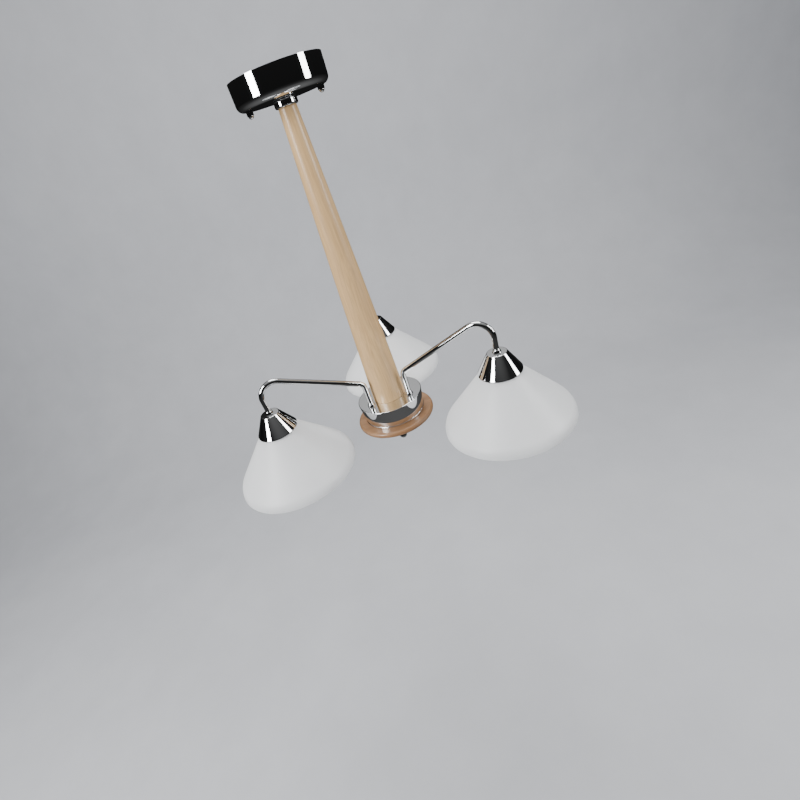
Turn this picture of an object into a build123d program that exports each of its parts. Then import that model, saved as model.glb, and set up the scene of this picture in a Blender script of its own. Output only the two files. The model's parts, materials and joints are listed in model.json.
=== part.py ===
from build123d import *
import os
from math import atan2, cos, degrees, hypot, radians, sin, tan

# Ceiling lamp: a tapered wooden stem on a chrome drum, three bent arms and opal glass shades.
# Millimetres, +Z up. The origin is the centre of the ceiling plane, so the lamp hangs below z = 0.

os.makedirs("parts", exist_ok=True)

# ---------------------------------------------------------------- driving dimensions

# Fits
slip_fit = 0.08        # radial play where a part turns on another
screw_fit = 0.05       # radial play of a nut on its thread
loose_fit = 0.25       # radial play of a clearance hole
air_gap = 0.3          # space kept between bodies that move past each other

# Ceiling bracket and canopy
bracket_inset = 7      # from the canopy's outside to the end of the bracket
bracket_width = 22
bracket_thickness = 2
slot_length = 16
slot_width = 5.2
slot_inset = 15        # from a stud in to the middle of its slot
stud_inset = 5         # from the end of the bracket in to its stud
stud_r = 2
stud_reach = 4.5       # how far the studs stand out below the canopy floor
cap_nut_across = 7
cap_nut_height = 7.5
earth_screw_x = 11
earth_head_r = 3.5
earth_head_height = 2.4
canopy_r = 55
canopy_height = 28
canopy_wall = 1.2
canopy_edge_r = 7
collar_r = 14
collar_height = 8
collar_edge_r = 2
terminal_width = 30
terminal_depth = 16
terminal_base = 5
terminal_height = 12.5
terminal_inset = 22    # from the lamp's axis to the face that the cores enter
terminal_pitch = 10
terminal_barrel_r = 4.2
terminal_turret_r = 2.9

# Stem and the hollow rod through it
stem_length = 400
stem_bottom_r = 26.2
stem_top_r = 11
stem_bulge = 0.5       # how far the side stands out from a straight taper
stem_edge_r = 0.8
rod_r = 5
rod_wall = 1.4
rod_top_reach = 11     # above the canopy floor
rod_bottom_reach = 9   # below the top face of the drum
rod_nut_across = 14
rod_nut_height = 5
rod_flange_r = 9.5
rod_flange_height = 1.4

# Hub
drum_taper = 3.5       # the drum's lower edge is this much smaller in radius than its top
drum_height = 29.6
drum_wall = 1.5
drum_edge_r = 1.0
lip_overhang = 0.6     # bottom plate beyond the drum's lower edge
lip_height = 3.7
lip_edge_r = 0.8
lip_rim = 3            # width of the plate's turned-down rim
plate_wall = 1.5
spigot_height = 2
spigot_wall = 1.5
disc_overhang = 14     # beyond the drum's lower edge
disc_thickness = 9.2
disc_edge_r = 4.2
bridge_width = 12
bridge_thickness = 2
bridge_drop = 21.5     # from the drum's top face to the bridge's underside
bridge_bend_r = 3
bridge_clearance = 4   # between the bridge's legs and the drum wall at its mouth
finial_stud_r = 3
finial_stud_grip = 12  # length of the stud inside the finial
finial_head_across = 10
finial_head_height = 4
finial_length = 47.3
finial_sleeve = 2      # wall of the finial round its stud
finial_flange = 4.5    # step from the sleeve out to the flange
finial_neck_r = 3.1
finial_ball_r = 6.4

# Arms
tube_r = 4
tube_wall = 1
arm_gap = 9.9          # from the foot of the stem out to the arm's swivel axis
arm_inset = 16.4       # from the drum's top edge in to the arm's swivel axis
arm_foot = 10          # length of tube below the drum's top face
arm_rise = 40.8        # height of the first bend's corner above the drum
arm_slope = 27.8       # degrees that the run climbs
arm_reach = 146.7      # from the swivel axis to the shade's axis
cup_lift = 59.3        # top of the cups above the top of the drum
inner_bend_r = 10.6
outer_bend_r = 22
arm_grip = 9           # length of tube inside the cup
round_nut_wall = 2.2
round_nut_top_wall = 1.2
round_nut_height = 4
arm_nut_wall = 2
arm_nut_height = 5
arm_flange_wall = 3.6
arm_flange_height = 1.2
lead_r = 2.2
lead_tail = 8          # length of lead below the tube's foot

# Names of the arms, where each stands on the hub and how far it is swung about its own axis
arm_names = ["left", "right", "back"]
arm_azimuths = [210, 330, 90]
arm_swings = [-18, 3.6, -3.5]

# Splice caps and the mains lead's cores
splice_wall = 1.6
splice_taper = 1.8
splice_length = 14
splice_bite = 3        # how far the arm lead goes into its cap
core_r = 0.9
core_gap = 0.8         # between a core and the arm lead in their cap
core_bend_r = 2.4
mains_play = 0.7       # between the lead and the rod's bore

# Lampholder, E27
holder_cap_step = 2.1  # the cap is this much smaller in radius than the skirt
holder_boss_wall = 4
holder_wall = 2
holder_cap_height = 20
skirt_r = 19.6
skirt_wall = 4.2
skirt_length = 36.5
shoulder_width = 4.4
shoulder_height = 3
shoulder_drop = 3      # from the skirt's top to the shoulder
contact_block_height = 7
shell_play = 1.6       # between the shell and the skirt
shell_wall = 0.4
shell_length = 22
shell_eye_r = 8
contact_r = 3.4
contact_stem_r = 1.6
contact_height = 1.3
contact_leaf = 0.5

# Cup, glass and shade ring
cup_top_r = 14
cup_margin = 7.4       # from the holder's shoulder out to the cup's lower edge
cup_height = 30.3
cup_wall = 1
cup_edge_r = 1.2
cup_lip = 1.2
glass_wall = 3
glass_neck_play = 1.2  # between the skirt and the glass
glass_tuck = 1.2       # cup's lower edge to the glass, measured outwards
glass_depth = 83.7     # from the cup's lower edge to the rim
flank_drop = 67.4      # height of the straight flank below the cup
flank_r = 89.5         # radius where the flank meets the shoulder
rim_step = 6.6         # from there out to the rim
glass_edge_r = 1
ring_flange = 5
ring_flange_height = 2.4
ring_wall = 2.8
ring_height = 8
ring_notches = 18
ring_notch_r = 1.2

# Bulb, 45 mm golf ball
bulb_r = 22.5
bulb_length = 75
bulb_glass = 1
bulb_cap_length = 26
bulb_play = 0.4        # between the cap's threads and the holder's shell
bulb_thread_depth = 0.6
bulb_threads = 4
bulb_thread_pitch = 3.6
bulb_collar_height = 4.5
bulb_collar_step = 0.1
bulb_cap_wall = 0.5
bulb_seat = 3          # how far the globe's neck goes into the cap
bulb_tip_r = 4.5
bulb_tip_height = 1.5
bulb_insulator_r = 8

# ---------------------------------------------------------------- sizes that follow

bracket_length = 2 * (canopy_r - bracket_inset)
stud_spacing = bracket_length - 2 * stud_inset
slot_spacing = stud_spacing - 2 * slot_inset
rod_bore_r = rod_r - rod_wall
mains_r = rod_bore_r - mains_play
arm_base_r = stem_bottom_r + arm_gap
drum_top_r = arm_base_r + arm_inset
drum_bottom_r = drum_top_r - drum_taper
disc_r = drum_bottom_r + disc_overhang
finial_flange_r = finial_stud_r + finial_sleeve + finial_flange
round_nut_r = tube_r + round_nut_wall
round_nut_top_r = tube_r + round_nut_top_wall
arm_nut_across = 2 * (tube_r + arm_nut_wall)
arm_flange_r = tube_r + arm_flange_wall
core_offset = lead_r + core_gap + core_r
splice_r = core_offset + core_r + splice_wall
splice_tip_r = splice_r - splice_taper
shoulder_r = skirt_r + shoulder_width
skirt_bore_r = skirt_r - skirt_wall
holder_cap_r = skirt_r - holder_cap_step
holder_boss_r = tube_r + holder_boss_wall
shell_bore_r = skirt_bore_r - shell_play - shell_wall
ring_flange_r = skirt_r + ring_flange
ring_r = skirt_r + ring_wall
glass_rim_r = flank_r + rim_step
bulb_cap_r = shell_bore_r - bulb_play
bulb_collar_r = bulb_cap_r - bulb_collar_step

# ---------------------------------------------------------------- levels and places

canopy_floor = -canopy_height
stem_top = canopy_floor - collar_height
drum_top = stem_top - stem_length
drum_bottom = drum_top - drum_height
lip_bottom = drum_bottom - lip_height
disc_bottom = lip_bottom - disc_thickness
rod_top = canopy_floor + rod_top_reach
rod_bottom = drum_top - rod_bottom_reach
bridge_bottom = drum_top - bridge_drop
bridge_top = bridge_bottom + bridge_thickness

foot = drum_top - arm_foot
lead_end = foot - lead_tail
splice_top = lead_end + splice_bite
cup_top = drum_top + cup_lift
cup_bottom = cup_top - cup_height
tube_end = cup_top - arm_grip
arm_peak = drum_top + arm_rise + arm_reach * tan(radians(arm_slope))

cup_bottom_r = shoulder_r + cup_margin
holder_top = cup_top - cup_wall
skirt_top = holder_top - holder_cap_height
shoulder_bottom = skirt_top - shoulder_drop - shoulder_height
skirt_bottom = skirt_top - skirt_length
block_bottom = skirt_top - contact_block_height
contact_face = block_bottom - contact_height
glass_neck_r = skirt_r + glass_neck_play
glass_top = shoulder_bottom
neck_underside = glass_top - glass_wall
rim = cup_bottom - glass_depth
ring_bore_r = skirt_r + slip_fit
bulb_top = contact_face - air_gap
bulb_cap_bottom = bulb_top - bulb_cap_length
bulb_bottom = bulb_top - bulb_length


def section(x, y, azimuth=0):
    """Upright plane through (x, y): its x runs outwards along the azimuth, its y is the height."""
    a = radians(azimuth)
    return Plane(origin=(x, y, 0), x_dir=(cos(a), sin(a), 0), z_dir=(sin(a), -cos(a), 0))


def level(height, x=0, y=0, azimuth=0):
    """Level plane at a height, centred on (x, y)."""
    a = radians(azimuth)
    return Plane(origin=(x, y, height), x_dir=(cos(a), sin(a), 0), z_dir=(0, 0, 1))


def upright(plane):
    """Vertical axis through a plane's origin."""
    return Axis(plane.origin, (0, 0, 1))


class Arm:
    """Where one arm stands: its swivel axis on the hub and its shade's axis."""

    def __init__(self, name, azimuth, swing):
        self.name = name
        self.azimuth = azimuth
        self.heading = azimuth + swing
        self.x = arm_base_r * cos(radians(azimuth))
        self.y = arm_base_r * sin(radians(azimuth))
        self.shade_x = self.x + arm_reach * cos(radians(self.heading))
        self.shade_y = self.y + arm_reach * sin(radians(self.heading))
        self.base = section(self.x, self.y, self.heading)
        self.shade = section(self.shade_x, self.shade_y, self.heading)


arms = [Arm(*row) for row in zip(arm_names, arm_azimuths, arm_swings)]
centre = section(0, 0)


# ---------------------------------------------------------------- helpers

def save(piece, name):
    """Label a finished piece and write it to its own file."""
    piece.part.label = name
    export_step(piece.part, f"parts/{name}.step")


def turned(plane, *corners, rounds=(), mode=Mode.ADD):
    """Turn a closed outline of (radius, height) corners about the plane's upright axis.

    rounds holds (number of the corner, radius) pairs."""
    with BuildSketch(plane) as profile:
        with BuildLine():
            Polyline(*corners, close=True)
        make_face()
        for number, radius in rounds:
            corner = Vector(*corners[number])
            fillet(profile.vertices().sort_by_distance(corner)[0], radius)
    revolve(profile.sketch, axis=upright(plane), mode=mode)


def drill(plane, radius, top, bottom):
    """Cut a round hole along the plane's upright axis."""
    corners = [(0, top), (radius, top), (radius, bottom), (0, bottom)]
    turned(plane, *corners, mode=Mode.SUBTRACT)


def flange_nut(plane, top, across, height, flange_r, flange_height, bore_r, flange_up=True):
    """Hexagon nut with its washer flange at the upper or the lower end."""
    bottom = top - height
    x, y = plane.origin.X, plane.origin.Y
    with BuildSketch(level(bottom, x, y)) as hexagon:
        RegularPolygon(radius=across / 2, side_count=6, major_radius=False)
    extrude(hexagon.sketch, amount=height)
    edge = top if flange_up else bottom + flange_height
    turned(plane, (0, edge), (flange_r, edge), (flange_r, edge - flange_height), (0, edge - flange_height))
    drill(plane, bore_r, top, bottom)


# ---------------------------------------------------------------- ceiling end

def make_ceiling_bracket():
    """Flat steel strip with two slots for the ceiling screws and holes for studs and earth screw."""
    with BuildPart() as bracket:
        with BuildSketch(Plane.XY.offset(-bracket_thickness)):
            RectangleRounded(bracket_length, bracket_width, bracket_width / 4)
            with Locations((slot_spacing / 2, 0), (-slot_spacing / 2, 0)):
                SlotOverall(slot_length, slot_width, mode=Mode.SUBTRACT)
            with Locations((stud_spacing / 2, 0), (-stud_spacing / 2, 0), (earth_screw_x, 0)):
                Circle(stud_r, mode=Mode.SUBTRACT)
        extrude(amount=bracket_thickness)
    save(bracket, "ceiling_bracket")


def make_bracket_studs():
    """Two threaded studs riveted into the bracket, reaching through the canopy floor."""
    with BuildPart() as studs:
        with BuildSketch(Plane.XY.offset(canopy_floor - stud_reach)):
            with Locations((stud_spacing / 2, 0), (-stud_spacing / 2, 0)):
                Circle(stud_r)
        extrude(amount=canopy_height + stud_reach)
    save(studs, "bracket_studs")


def make_canopy_cap_nuts():
    """Two domed cap nuts that hold the canopy up on the bracket's studs."""
    dome_r = cap_nut_across / 2 - 0.2
    hex_height = cap_nut_height - dome_r
    bottom = canopy_floor - cap_nut_height
    with BuildPart() as nuts:
        for x in (-stud_spacing / 2, stud_spacing / 2):
            with BuildSketch(level(canopy_floor - hex_height, x)) as hexagon:
                RegularPolygon(radius=cap_nut_across / 2, side_count=6, major_radius=False)
            extrude(hexagon.sketch, amount=hex_height)
            plane = section(x, 0)
            with BuildSketch(plane) as dome:
                with BuildLine():
                    Line((0, bottom), (0, bottom + dome_r))
                    Line((0, bottom + dome_r), (dome_r, bottom + dome_r))
                    RadiusArc((dome_r, bottom + dome_r), (0, bottom), dome_r)
                make_face()
            revolve(dome.sketch, axis=upright(plane))
            drill(plane, stud_r + screw_fit, canopy_floor, canopy_floor - stud_reach - air_gap)
    save(nuts, "canopy_cap_nuts")


def make_earth_screw():
    """Earth screw with a round head under the bracket."""
    plane = section(earth_screw_x, 0)
    head_top = -bracket_thickness
    head_bottom = head_top - earth_head_height
    with BuildPart() as screw:
        turned(plane, (0, 0), (stud_r, 0), (stud_r, head_top), (earth_head_r, head_top),
               (earth_head_r, head_bottom), (0, head_bottom), rounds=[(4, 1)])
        with BuildSketch(level(head_bottom, earth_screw_x)):
            Rectangle(2 * earth_head_r, 0.8)
        extrude(amount=1, mode=Mode.SUBTRACT)
    save(screw, "earth_screw")


def make_canopy_cup():
    """Spun cup that covers the bracket, its rim against the ceiling."""
    inner_r = canopy_r - canopy_wall
    inner_floor = canopy_floor + canopy_wall
    with BuildPart() as cup:
        turned(centre, (0, 0), (canopy_r, 0), (canopy_r, canopy_floor), (0, canopy_floor),
               rounds=[(2, canopy_edge_r)])
        turned(centre, (0, 0), (inner_r, 0), (inner_r, inner_floor), (0, inner_floor),
               rounds=[(2, canopy_edge_r - canopy_wall)], mode=Mode.SUBTRACT)
        drill(centre, rod_r + loose_fit, inner_floor, canopy_floor)
        for x in (-stud_spacing / 2, stud_spacing / 2):
            drill(section(x, 0), stud_r + loose_fit, inner_floor, canopy_floor)
    save(cup, "canopy_cup")


def make_canopy_collar():
    """Turned collar between the canopy and the top of the stem."""
    with BuildPart() as collar:
        turned(centre, (rod_r + loose_fit, canopy_floor), (collar_r, canopy_floor), (collar_r, stem_top),
               (rod_r + loose_fit, stem_top), rounds=[(1, collar_edge_r), (2, collar_edge_r)])
    save(collar, "canopy_collar")


def make_terminal_block():
    """Three-way screw terminal standing on the canopy floor."""
    floor = canopy_floor + canopy_wall
    middle = terminal_inset + terminal_depth / 2
    barrel_height = floor + terminal_base
    with BuildPart() as block:
        with BuildSketch(level(floor, 0, middle)):
            RectangleRounded(terminal_width, terminal_depth, 1.5)
        extrude(amount=terminal_base)
        for number in (-1, 0, 1):
            x = number * terminal_pitch
            with BuildSketch(Plane.XZ.offset(-terminal_inset)) as barrel:
                with Locations((x, barrel_height)):
                    Circle(terminal_barrel_r)
            extrude(barrel.sketch, amount=-terminal_depth)
            with BuildSketch(level(barrel_height, x, middle)) as turret:
                with Locations((0, terminal_depth / 4), (0, -terminal_depth / 4)):
                    Circle(terminal_turret_r)
            extrude(turret.sketch, amount=terminal_height - terminal_base)
            with BuildSketch(Plane.XZ.offset(-terminal_inset)) as bore:
                with Locations((x, barrel_height)):
                    Circle(core_r + loose_fit)
            extrude(bore.sketch, amount=-terminal_depth, mode=Mode.SUBTRACT)
            with BuildSketch(level(barrel_height, x, middle)) as well:
                with Locations((0, terminal_depth / 4), (0, -terminal_depth / 4)):
                    Circle(terminal_turret_r / 2)
            extrude(well.sketch, amount=terminal_height, mode=Mode.SUBTRACT)
    save(block, "terminal_block")


# ---------------------------------------------------------------- stem, rod and mains lead

def make_wood_stem():
    """Tapered turned stem, very slightly bellied, bored for the rod."""
    with BuildPart() as stem:
        with BuildSketch(centre) as profile:
            with BuildLine():
                Polyline((stem_top_r, stem_top), (rod_r + loose_fit, stem_top),
                         (rod_r + loose_fit, drum_top), (stem_bottom_r, drum_top))
                SagittaArc((stem_bottom_r, drum_top), (stem_top_r, stem_top), -stem_bulge)
            make_face()
            for corner in (Vector(stem_top_r, stem_top), Vector(stem_bottom_r, drum_top)):
                fillet(profile.vertices().sort_by_distance(corner)[0], stem_edge_r)
        revolve(axis=Axis.Z)
    save(stem, "wood_stem")


def make_threaded_rod():
    """Hollow rod that clamps canopy, stem and drum together and carries the mains lead."""
    with BuildPart() as rod:
        turned(centre, (rod_bore_r, rod_top), (rod_r, rod_top), (rod_r, rod_bottom), (rod_bore_r, rod_bottom))
    save(rod, "threaded_rod")


def make_rod_nuts():
    """Two flange nuts on the rod, one in the canopy and one in the drum."""
    sizes = dict(across=rod_nut_across, height=rod_nut_height, flange_r=rod_flange_r,
                 flange_height=rod_flange_height, bore_r=rod_r + screw_fit)
    with BuildPart() as nuts:
        flange_nut(centre, canopy_floor + canopy_wall + rod_nut_height, flange_up=False, **sizes)
        flange_nut(centre, drum_top - drum_wall, **sizes)
    save(nuts, "rod_nuts")


def core_run(points, start):
    """One insulated core swept along rounded straight runs."""
    with BuildLine() as route:
        FilletPolyline(*points, radius=core_bend_r)
    with BuildSketch(Plane(origin=points[0], z_dir=start)) as disc:
        Circle(core_r)
    sweep(disc.sketch, path=route.wire())


def make_mains_lead():
    """Three-core lead inside the rod: its cores end in the terminal block and in the splice caps."""
    spread = 1.6                   # cores around the lead's axis
    upper = rod_top + 1            # where the sheath ends in the canopy
    lower = rod_bottom - 0.5       # where the sheath ends in the drum
    overlap = 2                    # of the cores in the sheath
    over = upper + 5               # height of the cores over the rod
    entry = canopy_floor + canopy_wall + terminal_base
    under = (lower + splice_top) / 2
    with BuildPart() as lead:
        turned(centre, (0, upper), (mains_r, upper), (mains_r, lower), (0, lower))
        for number in (-1, 0, 1):
            x = number * spread
            far = number * terminal_pitch
            near = terminal_inset - 6
            points = [(x, 0, upper - overlap), (x, 0, over), (far, near, over), (far, near, entry),
                      (far, terminal_inset + 4, entry)]
            core_run(points, (0, 0, 1))
        for arm in arms:
            out = radians(arm.azimuth)
            inner = (spread * cos(out), spread * sin(out))
            outer_r = arm_base_r - core_offset
            outer = (outer_r * cos(out), outer_r * sin(out))
            points = [(*inner, lower + overlap), (*inner, under), (*outer, under),
                      (*outer, splice_top - splice_bite - 1)]
            core_run(points, (0, 0, -1))
    save(lead, "mains_lead")


# ---------------------------------------------------------------- hub

def make_hub_drum():
    """Chrome drum, open below, with a flat top that carries the stem and the arms."""
    inner_top = drum_top - drum_wall
    mouth_r = drum_bottom_r - drum_wall
    ceiling_r = drum_top_r - drum_wall
    with BuildPart() as drum:
        turned(centre, (0, drum_top), (drum_top_r, drum_top), (drum_bottom_r, drum_bottom), (0, drum_bottom),
               rounds=[(1, drum_edge_r)])
        turned(centre, (0, inner_top), (ceiling_r, inner_top), (mouth_r, drum_bottom), (0, drum_bottom),
               mode=Mode.SUBTRACT)
        drill(centre, rod_r + loose_fit, drum_top, inner_top)
        for arm in arms:
            drill(arm.base, tube_r + slip_fit, drum_top, inner_top)
    save(drum, "hub_drum")


def make_hub_bridge():
    """Bent steel strip under the drum's top plate that carries the finial's stud."""
    top = drum_top - drum_wall
    reach = drum_bottom_r - drum_wall - bridge_clearance
    height = top - bridge_bottom
    inner = reach - bridge_thickness
    with BuildPart() as bridge:
        with BuildSketch(Plane.XZ.offset(-bridge_width / 2)) as strip:
            with BuildLine():
                Polyline((-reach, top), (-reach, bridge_bottom), (reach, bridge_bottom), (reach, top),
                         (inner, top), (inner, bridge_top), (-inner, bridge_top), (-inner, top), close=True)
            make_face()
            outside = strip.vertices().group_by(Axis.Y)[0]
            fillet(outside, bridge_bend_r)
            on_top = strip.vertices().filter_by(lambda v: abs(v.Y - bridge_top) < 0.01)
            inside = on_top.filter_by(lambda v: abs(v.X) > inner - 1)
            fillet(inside, bridge_bend_r - bridge_thickness)
        extrude(amount=bridge_width)
        drill(centre, finial_stud_r + screw_fit, bridge_top, bridge_top - height)
    save(bridge, "hub_bridge")


def make_finial_stud():
    """Hexagon-headed stud through the bridge, down into the finial."""
    with BuildPart() as stud:
        with BuildSketch(level(bridge_top)):
            RegularPolygon(radius=finial_head_across / 2, side_count=6, major_radius=False)
        extrude(amount=finial_head_height)
        turned(centre, (0, bridge_top), (finial_stud_r, bridge_top),
               (finial_stud_r, disc_bottom - finial_stud_grip), (0, disc_bottom - finial_stud_grip))
    save(stud, "finial_stud")


def make_splice_caps():
    """Three screw-on splice caps, each on the swivel axis of its arm."""
    tip = splice_top - splice_length
    with BuildPart() as caps:
        for arm in arms:
            turned(arm.base, (0, splice_top), (splice_r, splice_top), (splice_tip_r, tip), (0, tip),
                   rounds=[(2, 1.5)])
            drill(arm.base, lead_r + air_gap, splice_top, lead_end - air_gap)
            out = radians(arm.azimuth)
            beside = section(arm.x - core_offset * cos(out), arm.y - core_offset * sin(out))
            drill(beside, core_r + screw_fit, splice_top, splice_top - splice_bite - 2)
    save(caps, "splice_caps")


def make_hub_bottom_plate():
    """Chrome plate that closes the drum, hollow below; its turned-down rim shows as a thin lip."""
    lip_r = drum_bottom_r + lip_overhang
    bore_r = finial_stud_r + slip_fit
    spigot_r = drum_bottom_r - drum_wall - air_gap
    spigot_top = drum_bottom + spigot_height
    with BuildPart() as plate:
        turned(centre, (bore_r, drum_bottom), (lip_r, drum_bottom), (lip_r, lip_bottom), (bore_r, lip_bottom),
               rounds=[(1, lip_edge_r), (2, lip_edge_r)])
        turned(centre, (spigot_r - spigot_wall, spigot_top), (spigot_r, spigot_top), (spigot_r, drum_bottom),
               (spigot_r - spigot_wall, drum_bottom), rounds=[(1, 0.6)])
        drill(centre, lip_r - lip_rim, drum_bottom - plate_wall, lip_bottom)
    save(plate, "hub_bottom_plate")


def make_wood_disc():
    """Dark wooden disc with a rounded edge under the drum."""
    bore_r = finial_stud_r + slip_fit
    with BuildPart() as disc:
        turned(centre, (bore_r, lip_bottom), (disc_r, lip_bottom), (disc_r, disc_bottom),
               (bore_r, disc_bottom), rounds=[(1, disc_edge_r), (2, disc_edge_r)])
    save(disc, "wood_disc")


def make_finial():
    """Turned finial: flange, waist and ball, bored for its stud."""
    tip = disc_bottom - finial_length
    ball_centre = tip + finial_ball_r
    socket = finial_stud_grip + 1.5
    sleeve_r = finial_stud_r + finial_sleeve
    sleeve_end = disc_bottom - socket - 2
    join = ball_centre + (finial_ball_r**2 - finial_neck_r**2) ** 0.5
    with BuildPart() as finial:
        with BuildSketch(centre) as profile:
            with BuildLine():
                Polyline((0, disc_bottom), (finial_flange_r, disc_bottom),
                         (finial_flange_r, disc_bottom - 2.6), (sleeve_r + 1, disc_bottom - 5.5),
                         (sleeve_r, sleeve_end), (finial_neck_r, sleeve_end - 6), (finial_neck_r, join))
                ThreePointArc((finial_neck_r, join), (finial_ball_r, ball_centre), (0, tip))
                Line((0, tip), (0, disc_bottom))
            make_face()
            for corner, radius in (((finial_flange_r, disc_bottom - 2.6), 1.2),
                                   ((sleeve_r + 1, disc_bottom - 5.5), 3),
                                   ((sleeve_r, sleeve_end), 6),
                                   ((finial_neck_r, sleeve_end - 6), 8)):
                fillet(profile.vertices().sort_by_distance(Vector(*corner))[0], radius)
        revolve(axis=Axis.Z)
        drill(centre, finial_stud_r + slip_fit, disc_bottom, disc_bottom - socket)
    save(finial, "finial")


# ---------------------------------------------------------------- arms

def arm_route(start, end):
    """Corners of the arm in its own plane: up, out along the slope, over and down."""
    return [(0, start), (0, drum_top + arm_rise), (arm_reach, arm_peak), (arm_reach, end)]


def bent_round(arm, radius, start, end, mode=Mode.ADD):
    """Round bar or bore along the arm's route."""
    with BuildLine(arm.base) as route:
        FilletPolyline(*arm_route(start, end), radius=[inner_bend_r, outer_bend_r])
    with BuildSketch(level(start, arm.x, arm.y)) as disc:
        Circle(radius)
    sweep(disc.sketch, path=route.wire(), mode=mode)


def make_arm_tube(arm):
    """Bent tube from under the drum's top plate to inside the cup."""
    with BuildPart() as tube:
        bent_round(arm, tube_r, foot, tube_end)
        bent_round(arm, tube_r - tube_wall, foot, tube_end, mode=Mode.SUBTRACT)
    save(tube, f"arm_tube_{arm.name}")


def make_arm_lead(arm):
    """Lead through the tube, from the splice cap to the lampholder."""
    with BuildPart() as lead:
        bent_round(arm, lead_r, lead_end, skirt_top)
    save(lead, f"arm_lead_{arm.name}")


def make_arm_collars(arm):
    """Two round nuts on the tube: one on the drum, one on the cup."""
    bore_r = tube_r + screw_fit
    with BuildPart() as collars:
        for plane, bottom in ((arm.base, drum_top), (arm.shade, cup_top)):
            top = bottom + round_nut_height
            turned(plane, (bore_r, bottom), (round_nut_r, bottom), (round_nut_top_r, top), (bore_r, top),
                   rounds=[(2, 0.7)])
    save(collars, f"arm_collars_{arm.name}")


def make_arm_nut(arm):
    """Flange nut that clamps the tube under the drum's top plate."""
    with BuildPart() as nut:
        flange_nut(arm.base, drum_top - drum_wall, arm_nut_across, arm_nut_height, arm_flange_r,
                   arm_flange_height, tube_r + screw_fit)
    save(nut, f"arm_nut_{arm.name}")


# ---------------------------------------------------------------- lampholder, cup and glass

def make_shade_cup(arm):
    """Spun chrome cone over the lampholder, with a short upright lip."""
    lip_top = cup_bottom + cup_lip
    side = atan2(cup_height - cup_lip, cup_bottom_r - cup_top_r)
    skin = cup_wall / sin(side)
    inner_top = cup_top - cup_wall
    inner_top_r = cup_top_r - skin + cup_wall / tan(side)
    inner_r = cup_bottom_r - cup_wall
    inner_lip = lip_top - (cup_wall - skin) * tan(side)
    with BuildPart() as cup:
        turned(arm.shade, (0, cup_top), (cup_top_r, cup_top), (cup_bottom_r, lip_top),
               (cup_bottom_r, cup_bottom), (0, cup_bottom), rounds=[(1, cup_edge_r)])
        turned(arm.shade, (0, inner_top), (inner_top_r, inner_top), (inner_r, inner_lip),
               (inner_r, cup_bottom), (0, cup_bottom), mode=Mode.SUBTRACT)
        drill(arm.shade, tube_r + screw_fit, cup_top, inner_top)
    save(cup, f"shade_cup_{arm.name}")


def make_holder_cap(arm):
    """Domed cap of the lampholder, screwed onto the end of the tube."""
    shoulder = holder_top - holder_cap_height * 0.7
    inner_r = holder_cap_r - holder_wall
    inner_top = tube_end - 1
    with BuildPart() as cap:
        turned(arm.shade, (0, holder_top), (holder_boss_r, holder_top), (holder_boss_r, holder_top - 4),
               (holder_cap_r, shoulder), (holder_cap_r, skirt_top), (0, skirt_top), rounds=[(3, 5)])
        turned(arm.shade, (0, inner_top), (lead_r + 2, inner_top), (inner_r, shoulder - 1),
               (inner_r, skirt_top), (0, skirt_top), mode=Mode.SUBTRACT)
        drill(arm.shade, tube_r + screw_fit, holder_top, tube_end)
        drill(arm.shade, lead_r + loose_fit, tube_end, inner_top)
    save(cap, f"holder_cap_{arm.name}")


def make_holder_skirt(arm):
    """Threaded skirt of the lampholder, with the shoulder that the glass bears on."""
    shoulder_top = shoulder_bottom + shoulder_height
    with BuildPart() as skirt:
        turned(arm.shade, (skirt_bore_r, skirt_top), (skirt_r, skirt_top), (skirt_r, shoulder_top),
               (shoulder_r, shoulder_top), (shoulder_r, shoulder_bottom), (skirt_r, shoulder_bottom),
               (skirt_r, skirt_bottom), (skirt_bore_r, skirt_bottom), rounds=[(3, 0.6), (6, 0.8)])
    save(skirt, f"holder_skirt_{arm.name}")


def make_contact_block(arm):
    """Insulating block in the top of the skirt that carries the contacts."""
    with BuildPart() as block:
        turned(arm.shade, (0, skirt_top), (skirt_bore_r, skirt_top), (skirt_bore_r, block_bottom),
               (0, block_bottom))
    save(block, f"contact_block_{arm.name}")


def make_centre_contact(arm):
    """Sprung centre contact that the bulb's tip meets."""
    leaf_top = contact_face + contact_leaf
    with BuildPart() as contact:
        turned(arm.shade, (0, block_bottom), (contact_stem_r, block_bottom), (contact_stem_r, leaf_top),
               (contact_r, leaf_top), (contact_r, contact_face), (0, contact_face))
    save(contact, f"centre_contact_{arm.name}")


def make_screw_shell(arm):
    """Metal shell that the bulb screws into, hung from the contact block."""
    outer_r = shell_bore_r + shell_wall
    bottom = block_bottom - shell_length
    with BuildPart() as shell:
        turned(arm.shade, (shell_eye_r, block_bottom), (outer_r, block_bottom), (outer_r, bottom),
               (shell_bore_r, bottom), (shell_bore_r, block_bottom - shell_wall),
               (shell_eye_r, block_bottom - shell_wall))
    save(shell, f"screw_shell_{arm.name}")


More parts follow.
